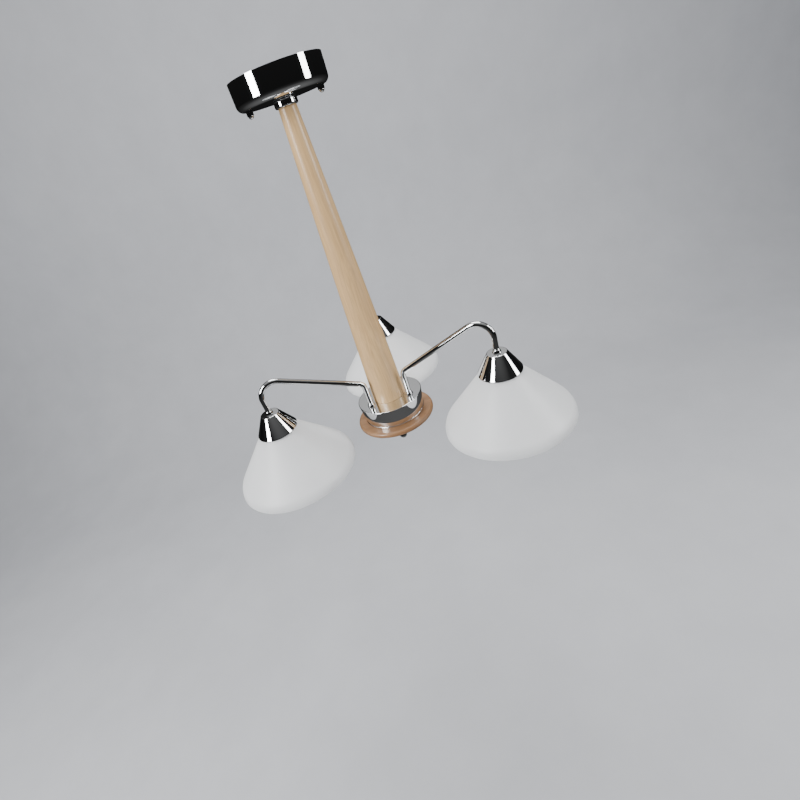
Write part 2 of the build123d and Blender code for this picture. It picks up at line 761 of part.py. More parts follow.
def make_glass_shade(arm):
    """Opal glass: a flat neck under the holder's shoulder, a straight flank and a rounded shoulder."""
    start = Vector(cup_bottom_r - cup_wall - glass_tuck + air_gap, cup_bottom)
    join = Vector(flank_r, cup_bottom - flank_drop)
    along = (join - start).normalized()
    inwards = Vector(along.Y, -along.X)
    lean = atan2(along.X, -along.Y)
    chord = Vector(glass_rim_r, rim) - join
    turn = 2 * (lean - atan2(chord.X, -chord.Y))
    bend_r = chord.length / (2 * sin(turn / 2))
    bend_centre = join + inwards * bend_r
    neck = start - along * ((glass_top - cup_bottom) / -along.Y)
    inner_join = join + inwards * glass_wall
    inner_neck = neck + inwards * glass_wall
    inner_neck += along * ((inner_neck.Y - neck_underside) / -along.Y)
    inner_rim = bend_centre + (Vector(glass_rim_r, rim) - bend_centre) * (1 - glass_wall / bend_r)
    inner_along = Vector(along.X, along.Y)
    with BuildPart() as glass:
        with BuildSketch(arm.shade) as profile:
            with BuildLine():
                Polyline((glass_neck_r, neck_underside), (glass_neck_r, glass_top), neck, join)
                TangentArc(join, (glass_rim_r, rim), tangent=along)
                Line((glass_rim_r, rim), inner_rim)
                TangentArc(inner_join, inner_rim, tangent=inner_along)
                Polyline(inner_join, inner_neck, (glass_neck_r, neck_underside))
            make_face()
            for corner in (Vector(glass_rim_r, rim), inner_rim):
                fillet(profile.vertices().sort_by_distance(corner)[0], glass_edge_r)
            fillet(profile.vertices().sort_by_distance(neck)[0], glass_wall)
        revolve(axis=upright(arm.shade))
    save(glass, f"glass_shade_{arm.name}")


def make_shade_ring(arm):
    """Notched ring on the skirt's thread that holds the glass up against the shoulder."""
    flange_bottom = neck_underside - ring_flange_height
    bottom = neck_underside - ring_height
    with BuildPart() as ring:
        turned(arm.shade, (ring_bore_r, neck_underside), (ring_flange_r, neck_underside),
               (ring_flange_r, flange_bottom), (ring_r, flange_bottom), (ring_r, bottom),
               (ring_bore_r, bottom), rounds=[(2, 0.6), (4, 0.8)])
        with BuildSketch(level(bottom, arm.shade_x, arm.shade_y)):
            with PolarLocations(ring_r, ring_notches):
                Circle(ring_notch_r)
        extrude(amount=ring_height - ring_flange_height - 0.5, mode=Mode.SUBTRACT)
    save(ring, f"shade_ring_{arm.name}")


# ---------------------------------------------------------------- bulb

def make_bulb_cap(arm):
    """Screw cap of the bulb, with its rolled threads, insulator and tip."""
    tip_bottom = bulb_top - bulb_tip_height
    thread_top = bulb_cap_bottom + bulb_collar_height + bulb_threads * bulb_thread_pitch
    root_r = bulb_cap_r - bulb_thread_depth
    half = bulb_thread_pitch / 2
    outline = [(0, bulb_top), (bulb_tip_r, bulb_top), (bulb_tip_r, tip_bottom),
               (bulb_insulator_r, thread_top + 1.5), (root_r, thread_top)]
    for number in range(bulb_threads):
        crest = thread_top - number * bulb_thread_pitch
        outline += [(bulb_cap_r, crest - half + 0.4), (bulb_cap_r, crest - half - 0.4),
                    (root_r, crest - bulb_thread_pitch)]
    collar_top = bulb_cap_bottom + bulb_collar_height - 0.4
    outline += [(bulb_collar_r, collar_top), (bulb_collar_r, bulb_cap_bottom), (0, bulb_cap_bottom)]
    with BuildPart() as cap:
        turned(arm.shade, *outline)
        drill(arm.shade, bulb_collar_r - bulb_cap_wall, bulb_cap_bottom + bulb_seat, bulb_cap_bottom)
    save(cap, f"bulb_cap_{arm.name}")


def make_bulb_globe(arm):
    """Frosted globe with its neck set in the cap."""
    neck_r = bulb_collar_r - bulb_cap_wall
    neck_top = bulb_cap_bottom + bulb_seat
    middle = bulb_bottom + bulb_r
    spread = radians(47)
    join = Vector(bulb_r * cos(spread), middle + bulb_r * sin(spread))
    inner_r = bulb_r - bulb_glass
    inner_join = Vector(inner_r * cos(spread), middle + inner_r * sin(spread))
    tangent = Vector(-sin(spread), cos(spread))
    knee = bulb_cap_bottom - 1
    with BuildPart() as globe:
        with BuildSketch(arm.shade):
            with BuildLine():
                Line((neck_r - bulb_glass, neck_top), (neck_r, neck_top))
                Line((neck_r, neck_top), (neck_r, knee))
                Spline((neck_r, knee), join, tangents=[(0, -1), -tangent])
                ThreePointArc(join, (bulb_r, middle), (0, bulb_bottom))
                Line((0, bulb_bottom), (0, bulb_bottom + bulb_glass))
                ThreePointArc((0, bulb_bottom + bulb_glass), (inner_r, middle), inner_join)
                Spline(inner_join, (neck_r - bulb_glass, knee), tangents=[tangent, (0, 1)])
                Line((neck_r - bulb_glass, knee), (neck_r - bulb_glass, neck_top))
            make_face()
        revolve(axis=upright(arm.shade))
    save(globe, f"bulb_globe_{arm.name}")


# ---------------------------------------------------------------- the whole lamp

for make in (make_ceiling_bracket, make_bracket_studs, make_canopy_cap_nuts, make_earth_screw,
             make_canopy_cup, make_canopy_collar, make_terminal_block, make_wood_stem,
             make_threaded_rod, make_rod_nuts, make_mains_lead, make_hub_drum, make_hub_bridge,
             make_finial_stud, make_splice_caps, make_hub_bottom_plate, make_wood_disc, make_finial):
    make()

for make in (make_arm_tube, make_arm_lead, make_arm_collars, make_arm_nut, make_shade_cup,
             make_holder_cap, make_holder_skirt, make_contact_block, make_centre_contact,
             make_screw_shell, make_glass_shade, make_shade_ring, make_bulb_cap, make_bulb_globe):
    for arm in arms:
        make(arm)

print("largest radius of the lamp", round(max(hypot(a.shade_x, a.shade_y) for a in arms) + glass_rim_r, 1))
print("height of the lamp", round(finial_length - disc_bottom, 1))
print("flank of the glass leans", round(degrees(atan2(flank_r - cup_bottom_r, flank_drop)), 1), "degrees")
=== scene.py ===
import bmesh
import bpy
import json
import math
from mathutils import Matrix, Vector


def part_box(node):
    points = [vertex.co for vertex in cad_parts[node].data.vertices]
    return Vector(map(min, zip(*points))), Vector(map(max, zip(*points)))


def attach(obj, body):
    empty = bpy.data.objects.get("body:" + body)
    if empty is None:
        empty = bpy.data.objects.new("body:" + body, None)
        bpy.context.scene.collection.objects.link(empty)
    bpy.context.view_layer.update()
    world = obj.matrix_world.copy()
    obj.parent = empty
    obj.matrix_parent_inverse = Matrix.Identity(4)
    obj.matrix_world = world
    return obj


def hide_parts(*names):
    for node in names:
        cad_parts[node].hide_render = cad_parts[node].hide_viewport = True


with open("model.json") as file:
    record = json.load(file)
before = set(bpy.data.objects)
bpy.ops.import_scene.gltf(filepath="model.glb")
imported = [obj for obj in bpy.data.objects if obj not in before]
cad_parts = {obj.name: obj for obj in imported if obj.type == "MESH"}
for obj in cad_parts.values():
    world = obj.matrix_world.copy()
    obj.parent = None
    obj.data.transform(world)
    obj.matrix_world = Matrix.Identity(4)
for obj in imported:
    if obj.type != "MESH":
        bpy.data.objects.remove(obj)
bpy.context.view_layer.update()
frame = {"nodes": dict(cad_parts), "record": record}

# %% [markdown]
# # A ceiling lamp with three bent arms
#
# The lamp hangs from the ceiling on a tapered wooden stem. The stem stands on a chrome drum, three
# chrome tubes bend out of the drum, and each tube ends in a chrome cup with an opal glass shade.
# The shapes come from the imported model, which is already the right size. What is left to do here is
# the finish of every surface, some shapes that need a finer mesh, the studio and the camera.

nodes = frame["nodes"]
arm_names = ["left", "right", "back"]


# %% Places on the lamp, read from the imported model
drum_low, drum_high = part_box("hub_drum")
hub_top = Vector((0, 0, drum_high.z))
lamp_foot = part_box("finial")[0].z
print("top of the drum", round(hub_top.z, 4), "foot of the lamp", round(lamp_foot, 4))

# %% [markdown]
# ## Shader groups
#
# Several finishes share the same kind of detail. Wood of two sorts has the same grain, and chrome,
# zinc and brass all carry faint handling marks. Each such effect could be built again in every
# material, but a node group made once keeps them alike and lets each material set its own strength.
# A group gives out only colours, masks and heights. The shader itself stays in the material.


# %% Small helpers for node trees
def new_group(name, inputs, outputs):
    """Empty shader group with named sockets; inputs hold (name, kind, default)."""
    group = bpy.data.node_groups.new(name, "ShaderNodeTree")
    for label, kind, default in inputs:
        socket = group.interface.new_socket(name=label, in_out="INPUT", socket_type=kind)
        if default is not None:
            socket.default_value = default
    for label, kind in outputs:
        group.interface.new_socket(name=label, in_out="OUTPUT", socket_type=kind)
    start = group.nodes.new("NodeGroupInput")
    end = group.nodes.new("NodeGroupOutput")
    return group, start, end


def add(tree, kind, values=None, **settings):
    """New node with its settings and socket values."""
    node = tree.nodes.new(kind)
    for key, value in settings.items():
        setattr(node, key, value)
    for key, value in (values or {}).items():
        node.inputs[key].default_value = value
    return node


def join(tree, *pairs):
    """Link sockets, each pair from an output to an input."""
    for source, target in pairs:
        tree.links.new(source, target)


def ramp(tree, stops, interpolation="LINEAR"):
    """Colour ramp with (position, colour) stops."""
    node = tree.nodes.new("ShaderNodeValToRGB")
    node.color_ramp.interpolation = interpolation
    elements = node.color_ramp.elements
    while len(elements) < len(stops):
        elements.new(0.5)
    for element, (position, colour) in zip(elements, stops):
        element.position = position
        element.color = colour if len(colour) == 4 else (*colour, 1)
    return node


def grey(value):
    return (value, value, value, 1)


VECTOR, FLOAT, COLOUR = "NodeSocketVector", "NodeSocketFloat", "NodeSocketColor"


# %% Wood grain
def make_grain_group():
    """Long fibres, slow bands of tone and short pores, all stretched along the wood's own Z."""
    group, start, end = new_group(
        "wood_grain",
        [("Vector", VECTOR, None), ("Fibre Scale", FLOAT, 900.0), ("Band Scale", FLOAT, 45.0),
         ("Stretch", FLOAT, 0.03), ("Pale", COLOUR, (0.7, 0.5, 0.3, 1)),
         ("Middle", COLOUR, (0.6, 0.4, 0.2, 1)), ("Dark", COLOUR, (0.4, 0.2, 0.1, 1)),
         ("Pore Strength", FLOAT, 0.3)],
        [("Color", COLOUR), ("Pores", FLOAT), ("Height", FLOAT)])
    stretch = add(group, "ShaderNodeCombineXYZ", {0: 1.0, 1: 1.0})
    along = add(group, "ShaderNodeVectorMath", operation="MULTIPLY")
    wander = add(group, "ShaderNodeTexNoise", {"Scale": 6.0, "Detail": 2.0})
    shift = add(group, "ShaderNodeVectorMath", {"Scale": 0.012}, operation="SCALE")
    moved = add(group, "ShaderNodeVectorMath", operation="ADD")
    bands = add(group, "ShaderNodeTexNoise", {"Detail": 5.0, "Roughness": 0.6, "Distortion": 0.4})
    fibres = add(group, "ShaderNodeTexNoise", {"Detail": 6.0, "Roughness": 0.7})
    pores = add(group, "ShaderNodeTexNoise", {"Detail": 3.0, "Roughness": 0.6})
    pore_scale = add(group, "ShaderNodeMath", {1: 1.7}, operation="MULTIPLY")
    tone = add(group, "ShaderNodeMapRange", {"From Min": 0.32, "From Max": 0.68})
    streak = add(group, "ShaderNodeMapRange", {"From Min": 0.35, "From Max": 0.7})
    pale_middle = add(group, "ShaderNodeMix", data_type="RGBA")
    with_dark = add(group, "ShaderNodeMix", data_type="RGBA")
    darkness = add(group, "ShaderNodeMath", {1: 0.45}, operation="MULTIPLY")
    pit = add(group, "ShaderNodeMapRange", {"From Min": 0.60, "From Max": 0.72})
    pit_strength = add(group, "ShaderNodeMath", operation="MULTIPLY")
    with_pores = add(group, "ShaderNodeMix", data_type="RGBA")
    height = add(group, "ShaderNodeMath", operation="SUBTRACT")
    join(group,
         (start.outputs["Stretch"], stretch.inputs[2]),
         (start.outputs["Vector"], wander.inputs["Vector"]),
         (wander.outputs["Color"], shift.inputs[0]),
         (start.outputs["Vector"], moved.inputs[0]), (shift.outputs[0], moved.inputs[1]),
         (moved.outputs[0], along.inputs[0]), (stretch.outputs[0], along.inputs[1]),
         (along.outputs[0], bands.inputs["Vector"]), (start.outputs["Band Scale"], bands.inputs["Scale"]),
         (along.outputs[0], fibres.inputs["Vector"]), (start.outputs["Fibre Scale"], fibres.inputs["Scale"]),
         (start.outputs["Fibre Scale"], pore_scale.inputs[0]),
         (along.outputs[0], pores.inputs["Vector"]), (pore_scale.outputs[0], pores.inputs["Scale"]),
         (bands.outputs["Fac"], tone.inputs["Value"]),
         (fibres.outputs["Fac"], streak.inputs["Value"]),
         (tone.outputs[0], pale_middle.inputs[0]),
         (start.outputs["Pale"], pale_middle.inputs[6]), (start.outputs["Middle"], pale_middle.inputs[7]),
         (streak.outputs[0], darkness.inputs[0]), (darkness.outputs[0], with_dark.inputs[0]),
         (pale_middle.outputs[2], with_dark.inputs[6]), (start.outputs["Dark"], with_dark.inputs[7]),
         (pores.outputs["Fac"], pit.inputs["Value"]),
         (pit.outputs[0], pit_strength.inputs[0]), (start.outputs["Pore Strength"], pit_strength.inputs[1]),
         (pit_strength.outputs[0], with_pores.inputs[0]),
         (with_dark.outputs[2], with_pores.inputs[6]), (start.outputs["Dark"], with_pores.inputs[7]),
         (with_pores.outputs[2], end.inputs["Color"]), (pit.outputs[0], end.inputs["Pores"]),
         (fibres.outputs["Fac"], height.inputs[0]), (pit.outputs[0], height.inputs[1]),
         (height.outputs[0], end.inputs["Height"]))
    return group


wood_grain = make_grain_group()
print("group", wood_grain.name, "made")


# %% Handling marks on metal
def make_marks_group():
    """Faint smears and hairlines: a roughness that wanders a little and a very small height."""
    group, start, end = new_group(
        "handling_marks",
        [("Vector", VECTOR, None), ("Smear Scale", FLOAT, 18.0), ("Hairline Scale", FLOAT, 700.0),
         ("Low Roughness", FLOAT, 0.03), ("High Roughness", FLOAT, 0.09)],
        [("Roughness", FLOAT), ("Height", FLOAT)])
    smears = add(group, "ShaderNodeTexNoise", {"Detail": 4.0, "Roughness": 0.6})
    flat = add(group, "ShaderNodeVectorMath", {1: (1.0, 1.0, 0.06)}, operation="MULTIPLY")
    hairlines = add(group, "ShaderNodeTexNoise", {"Detail": 3.0, "Roughness": 0.7})
    spread = add(group, "ShaderNodeMapRange", {"From Min": 0.35, "From Max": 0.75})
    join(group,
         (start.outputs["Vector"], smears.inputs["Vector"]),
         (start.outputs["Smear Scale"], smears.inputs["Scale"]),
         (start.outputs["Vector"], flat.inputs[0]),
         (flat.outputs[0], hairlines.inputs["Vector"]),
         (start.outputs["Hairline Scale"], hairlines.inputs["Scale"]),
         (smears.outputs["Fac"], spread.inputs["Value"]),
         (start.outputs["Low Roughness"], spread.inputs["To Min"]),
         (start.outputs["High Roughness"], spread.inputs["To Max"]),
         (spread.outputs[0], end.inputs["Roughness"]), (hairlines.outputs["Fac"], end.inputs["Height"]))
    return group


handling_marks = make_marks_group()
print("group", handling_marks.name, "made")


# %% Moulded skin of plastics and ceramics
def make_skin_group():
    """Fine pebbled height and a slow change of tone, as on moulded plastic and fired ceramic."""
    group, start, end = new_group(
        "moulded_skin",
        [("Vector", VECTOR, None), ("Pebble Scale", FLOAT, 1500.0), ("Tone Scale", FLOAT, 60.0),
         ("Color A", COLOUR, grey(0.5)), ("Color B", COLOUR, grey(0.6))],
        [("Color", COLOUR), ("Height", FLOAT)])
    pebbles = add(group, "ShaderNodeTexVoronoi", feature="SMOOTH_F1")
    tone = add(group, "ShaderNodeTexNoise", {"Detail": 3.0})
    mix = add(group, "ShaderNodeMix", data_type="RGBA")
    join(group,
         (start.outputs["Vector"], pebbles.inputs["Vector"]),
         (start.outputs["Pebble Scale"], pebbles.inputs["Scale"]),
         (start.outputs["Vector"], tone.inputs["Vector"]),
         (start.outputs["Tone Scale"], tone.inputs["Scale"]),
         (tone.outputs["Fac"], mix.inputs[0]), (start.outputs["Color A"], mix.inputs[6]),
         (start.outputs["Color B"], mix.inputs[7]),
         (mix.outputs[2], end.inputs["Color"]), (pebbles.outputs["Distance"], end.inputs["Height"]))
    return group


moulded_skin = make_skin_group()
print("group", moulded_skin.name, "made")

# %% [markdown]
# ## Finishes
#
# Each finish is one Principled shader. Values that are the same all over the surface, such as the
# index of refraction or the specular level, are set on the shader itself. Only what changes over the
# surface goes through nodes.


# %% A bare material and a placed group
def new_material(name):
    """Material with an empty tree apart from its shader, its output and object coordinates."""
    material = bpy.data.materials.new(name)
    material.use_nodes = True
    tree = material.node_tree
    shader = tree.nodes["Principled BSDF"]
    place = tree.nodes.new("ShaderNodeTexCoord")
    return material, tree, shader, place.outputs["Object"]


def put(tree, group, vector, **values):
    """Place a group in a material and feed it the coordinates."""
    node = tree.nodes.new("ShaderNodeGroup")
    node.node_tree = group
    for label, value in values.items():
        node.inputs[label.replace("_", " ")].default_value = value
    tree.links.new(vector, node.inputs["Vector"])
    return node


def bump(tree, shader, height, strength, distance):
    """Bump from a height into the shader's normal."""
    node = add(tree, "ShaderNodeBump", {"Strength": strength, "Distance": distance})
    join(tree, (height, node.inputs["Height"]), (node.outputs["Normal"], shader.inputs["Normal"]))
    return node


# %% Metals
def metal(name, colour, low, high, hair=0.02, smear=18.0):
    """Plated or plain metal with faint handling marks."""
    material, tree, shader, place = new_material(name)
    marks = put(tree, handling_marks, place, Smear_Scale=smear, Low_Roughness=low, High_Roughness=high)
    shader.inputs["Base Color"].default_value = (*colour, 1)
    shader.inputs["Metallic"].default_value = 1.0
    join(tree, (marks.outputs["Roughness"], shader.inputs["Roughness"]))
    bump(tree, shader, marks.outputs["Height"], hair, 0.0001)
    return material


chrome = metal("mirror_chrome", (0.82, 0.83, 0.84), 0.02, 0.05, hair=0.01)
zinc = metal("zinc_plate", (0.62, 0.63, 0.65), 0.28, 0.45, hair=0.15, smear=60.0)
brass = metal("plain_brass", (0.72, 0.52, 0.22), 0.18, 0.35, hair=0.08, smear=60.0)
bulb_metal = metal("nickel_cap", (0.66, 0.65, 0.62), 0.15, 0.3, hair=0.08, smear=80.0)
print("metals", chrome.name, zinc.name, brass.name, bulb_metal.name)


# %% Woods
def wood(name, pale, middle_tone, dark, turn, fibre, band, pore, roughness, coat):
    """Lacquered wood: grain in the colour, pores in the roughness, a thin clear coat on top."""
    material, tree, shader, place = new_material(name)
    mapping = add(tree, "ShaderNodeMapping", {"Rotation": turn})
    join(tree, (place, mapping.inputs["Vector"]))
    grain = put(tree, wood_grain, mapping.outputs["Vector"], Fibre_Scale=fibre, Band_Scale=band,
                Pale=(*pale, 1), Middle=(*middle_tone, 1), Dark=(*dark, 1), Pore_Strength=pore)
    rough = add(tree, "ShaderNodeMapRange", {"To Min": roughness, "To Max": roughness + 0.2})
    join(tree, (grain.outputs["Color"], shader.inputs["Base Color"]),
         (grain.outputs["Pores"], rough.inputs["Value"]), (rough.outputs[0], shader.inputs["Roughness"]))
    shader.inputs["Coat Weight"].default_value = coat
    shader.inputs["Coat Roughness"].default_value = 0.22
    shader.inputs["Coat IOR"].default_value = 1.5
    bump(tree, shader, grain.outputs["Height"], 0.12, 0.0002)
    return material


pale_wood = wood("pale_lacquered_wood", (0.88, 0.61, 0.31), (0.78, 0.50, 0.235), (0.40, 0.20, 0.08),
                 (0, 0, 0), 420.0, 38.0, 0.35, 0.42, 0.5)
dark_wood = wood("walnut_brown_wood", (0.47, 0.26, 0.125), (0.33, 0.17, 0.075), (0.14, 0.06, 0.028),
                 (0, math.radians(90), math.radians(20)), 420.0, 60.0, 0.6, 0.38, 0.45)
print("woods", pale_wood.name, dark_wood.name)


# %% Opal glass
def opal_glass():
    """White glass with a satin skin: light sinks in a little and comes back soft."""
    material, tree, shader, place = new_material("satin_opal_glass")
    cloud = add(tree, "ShaderNodeTexNoise", {"Scale": 14.0, "Detail": 3.0})
    tone = ramp(tree, [(0.35, (0.88, 0.90, 0.90)), (0.7, (0.93, 0.95, 0.95))])
    etch = add(tree, "ShaderNodeTexNoise", {"Scale": 2600.0, "Detail": 2.0})
    rough = add(tree, "ShaderNodeMapRange", {"To Min": 0.36, "To Max": 0.5})
    join(tree, (place, cloud.inputs["Vector"]), (cloud.outputs["Fac"], tone.inputs["Fac"]),
         (tone.outputs["Color"], shader.inputs["Base Color"]),
         (place, etch.inputs["Vector"]), (etch.outputs["Fac"], rough.inputs["Value"]),
         (rough.outputs[0], shader.inputs["Roughness"]))
    shader.inputs["Subsurface Weight"].default_value = 0.6
    shader.inputs["Subsurface Radius"].default_value = (1.0, 1.0, 0.95)
    shader.inputs["Subsurface Scale"].default_value = 0.012
    shader.inputs["IOR"].default_value = 1.5
    bump(tree, shader, etch.outputs["Fac"], 0.05, 0.0001)
    return material


opal = opal_glass()
print("glass", opal.name)


# %% Plastics, ceramic and frosted bulb glass
def moulded(name, colour_a, colour_b, roughness, pebble=1500.0, strength=0.05, coat=0.0):
    """Moulded plastic or fired ceramic."""
    material, tree, shader, place = new_material(name)
    skin = put(tree, moulded_skin, place, Pebble_Scale=pebble, Color_A=(*colour_a, 1), Color_B=(*colour_b, 1))
    join(tree, (skin.outputs["Color"], shader.inputs["Base Color"]))
    shader.inputs["Roughness"].default_value = roughness
    shader.inputs["Coat Weight"].default_value = coat
    bump(tree, shader, skin.outputs["Height"], strength, 0.0001)
    return material


bakelite = moulded("black_bakelite", (0.012, 0.012, 0.013), (0.024, 0.023, 0.022), 0.28, coat=0.2)
ceramic = moulded("white_steatite", (0.78, 0.77, 0.72), (0.84, 0.83, 0.79), 0.4)
nylon = moulded("terminal_nylon", (0.75, 0.74, 0.69), (0.8, 0.79, 0.75), 0.45)
splice = moulded("splice_plastic", (0.36, 0.37, 0.39), (0.42, 0.43, 0.45), 0.35)
sleeve = moulded("lead_sleeve", (0.80, 0.80, 0.79), (0.86, 0.86, 0.85), 0.5, strength=0.02)
frosted = moulded("frosted_bulb_glass", (0.82, 0.82, 0.80), (0.88, 0.88, 0.86), 0.3,
                  pebble=3000.0, strength=0.02)
frosted_shader = frosted.node_tree.nodes["Principled BSDF"]
frosted_shader.inputs["Subsurface Weight"].default_value = 0.3
frosted_shader.inputs["Subsurface Scale"].default_value = 0.006
print("moulded", bakelite.name, ceramic.name, nylon.name, splice.name, sleeve.name, frosted.name)

# %% [markdown]
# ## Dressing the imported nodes
#
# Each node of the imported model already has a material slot, named in the record. A table from the
# slot's name to the finish dresses the whole lamp in one loop.

# %% Finish of every node
finish_of = {"chrome": chrome, "pale_wood": pale_wood, "dark_wood": dark_wood, "opal_glass": opal,
             "zinc_steel": zinc, "brass": brass, "terminal_nylon": nylon, "splice_plastic": splice,
             "lead_pvc": sleeve, "black_bakelite": bakelite, "white_steatite": ceramic,
             "bulb_metal": bulb_metal, "bulb_glass": frosted}
slot_of = {row["node"]: row["material_slot"] for row in frame["record"]["subparts"]}
for name, node in nodes.items():
    node.data.materials.clear()
    node.data.materials.append(finish_of[slot_of[name]])
print("dressed", len(nodes), "nodes in", len(set(slot_of.values())), "finishes")

# %% [markdown]
# ## Turned pieces with a fine mesh
#
# The chrome cups and the opal shades are bodies of revolution: a spun metal cone and a blown glass
# bell. A Screw modifier on a curve would turn them too, but building the rings by hand gives even
# quads, and even quads give the mirror finish straight, clean reflections. The outline is a short list
# of corners. Each round edge is an arc, and a pair of close points beside it keeps the long straight
# stretch flat when the surface is shaded smooth.


# %% Outline with rounded corners
def rounded(corners, steps=5, guard=0.0003):
    """Closed outline through (radius, height, edge radius) corners, as 2-D vectors."""
    outline = []
    for number, (radius, height, edge) in enumerate(corners):
        here = Vector((radius, height))
        back = Vector(corners[number - 1][:2]) - here
        ahead = Vector(corners[(number + 1) % len(corners)][:2]) - here
        half = back.angle(ahead) / 2
        reach = edge / math.tan(half)
        if back.length > reach + 10 * guard:
            outline.append(here + back.normalized() * (reach + guard))
        if edge:
            middle = here + (back.normalized() + ahead.normalized()).normalized() * edge / math.sin(half)
            start = here + back.normalized() * reach - middle
            end = here + ahead.normalized() * reach - middle
            turn = math.atan2(start.x * end.y - start.y * end.x, start.dot(end))
            for step in range(steps + 1):
                angle = turn * step / steps
                outline.append(middle + Vector((start.x * math.cos(angle) - start.y * math.sin(angle),
                                                start.x * math.sin(angle) + start.y * math.cos(angle))))
        else:
            outline.append(here)
        if ahead.length > reach + 10 * guard:
            outline.append(here + ahead.normalized() * (reach + guard))
    return outline


# %% Closed outline turned about an upright axis
def new_piece(name, corners, faces, body, slot, sharp=32):
    """Mesh object that rides on a body and takes the finish of a slot."""
    mesh = bpy.data.meshes.new(name)
    mesh.from_pydata(corners, [], faces)
    work = bmesh.new()
    work.from_mesh(mesh)
    bmesh.ops.recalc_face_normals(work, faces=work.faces)
    work.to_mesh(mesh)
    work.free()
    mesh.shade_smooth()
    mesh.set_sharp_from_angle(angle=math.radians(sharp))
    piece = bpy.data.objects.new(name, mesh)
    bpy.context.scene.collection.objects.link(piece)
    piece.data.materials.append(finish_of[slot])
    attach(piece, body)
    return piece


def turned(name, outline, axis, body, slot, sides=144):
    """Turn a closed outline of (radius, height) points about the upright axis at (x, y)."""
    rings = len(outline)
    corners, faces = [], []
    for side in range(sides):
        angle = 2 * math.pi * side / sides
        corners += [(axis.x + p.x * math.cos(angle), axis.y + p.x * math.sin(angle), p.y) for p in outline]
        here, there = side * rings, (side + 1) % sides * rings
        faces += [(here + n, there + n, there + (n + 1) % rings, here + (n + 1) % rings)
                  for n in range(rings)]
    return new_piece(name, corners, faces, body, slot)


# %% Cup and glass sizes, in metres
cup_wall = 0.001
cup_hole_r = 0.00405
cup_top_r = 0.014
cup_lip = 0.0012
cup_edge_r = 0.0012
glass_wall = 0.003
glass_neck_r = 0.0208
glass_neck_edge_r = 0.0003
glass_edge_r = 0.001
glass_tuck = 0.0019        # from the cup's lower edge in to the glass
flank_r = 0.0895           # where the straight flank meets the round shoulder
flank_drop = 0.0674        # height of the flank below the cup
glass_rim_r = 0.0961
glass_depth = 0.0837       # from the cup's lower edge to the rim


# %% Spun chrome cup
def make_cup(arm):
    """Chrome cone with a short lip, open below, with a hole for the tube in its top."""
    low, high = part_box(f"shade_cup_{arm}")
    axis = (low + high) / 2
    foot_r = (high.x - low.x) / 2
    top, lip_top = high.z, low.z + cup_lip
    side = math.atan2(top - lip_top, foot_r - cup_top_r)
    skin = cup_wall / math.sin(side)
    inner_top_r = cup_top_r - skin + cup_wall / math.tan(side)
    inner_lip = lip_top - (cup_wall - skin) * math.tan(side)
    outline = rounded([(cup_hole_r, top, 0), (cup_top_r, top, cup_edge_r), (foot_r, lip_top, 0.0004),
                       (foot_r, low.z, 0.0002), (foot_r - cup_wall, low.z, 0.0002),
                       (foot_r - cup_wall, inner_lip, 0.0003), (inner_top_r, top - cup_wall, 0.0003),
                       (cup_hole_r, top - cup_wall, 0)])
    cup = turned(f"spun_cup_{arm}", outline, axis, f"arm_{arm}", "chrome")
    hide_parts(f"shade_cup_{arm}")
    return cup


cups = [make_cup(arm) for arm in arm_names]
print("cups", [len(cup.data.polygons) for cup in cups])


# %% Blown opal glass
def make_glass(arm):
    """Glass bell: a neck under the cup, a straight flank and a shoulder that bends to the rim."""
    cup_low, cup_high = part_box(f"shade_cup_{arm}")
    low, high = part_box(f"glass_shade_{arm}")
    axis = (cup_low + cup_high) / 2
    start = Vector(((cup_high.x - cup_low.x) / 2 - glass_tuck, cup_low.z))
    join = Vector((flank_r, cup_low.z - flank_drop))
    rim = Vector((glass_rim_r, cup_low.z - glass_depth))
    along = (join - start).normalized()
    inwards = Vector((along.y, -along.x))
    lean = math.atan2(along.x, -along.y)
    chord = rim - join
    turn = 2 * (lean - math.atan2(chord.x, -chord.y))
    bend_r = chord.length / (2 * math.sin(turn / 2))
    middle = join + inwards * bend_r
    neck = start - along * ((high.z - cup_low.z) / -along.y)
    neck_under = high.z - glass_wall
    inner_neck = neck + inwards * glass_wall
    inner_neck += along * ((inner_neck.y - neck_under) / -along.y)

    def bend(reach, steps=12):
        """Points of the shoulder at a distance from the middle of its bend, from flank to rim."""
        first = (join - middle).normalized() * reach
        angles = [-turn * step / steps for step in range(steps + 1)]
        return [middle + Vector((first.x * math.cos(a) - first.y * math.sin(a),
                                 first.x * math.sin(a) + first.y * math.cos(a))) for a in angles]

    outer, inner = bend(bend_r), bend(bend_r - glass_wall)
    corners = [(glass_neck_r, neck_under, glass_neck_edge_r), (glass_neck_r, high.z, glass_neck_edge_r),
               (neck.x, neck.y, glass_wall)]
    corners += [(point.x, point.y, 0) for point in outer[:-1]]
    corners += [(outer[-1].x, outer[-1].y, glass_edge_r), (inner[-1].x, inner[-1].y, glass_edge_r)]
    corners += [(point.x, point.y, 0) for point in reversed(inner[:-1])]
    corners += [(inner_neck.x, inner_neck.y, 0)]
    glass = turned(f"opal_shade_{arm}", rounded(corners), axis, f"arm_{arm}", "opal_glass")
    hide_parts(f"glass_shade_{arm}")
    return glass


glasses = [make_glass(arm) for arm in arm_names]
print("glasses", [len(glass.data.polygons) for glass in glasses])

# %% [markdown]
# ## Thread on the lampholders
#
# The notched ring that carries the glass runs on a coarse thread moulded round the holder's skirt.
# A picture of lines would do from far off, but the thread shows from underneath against the light, so
# it is a real ridge: a small trapezium carried round a helix, thinned to nothing at both ends.

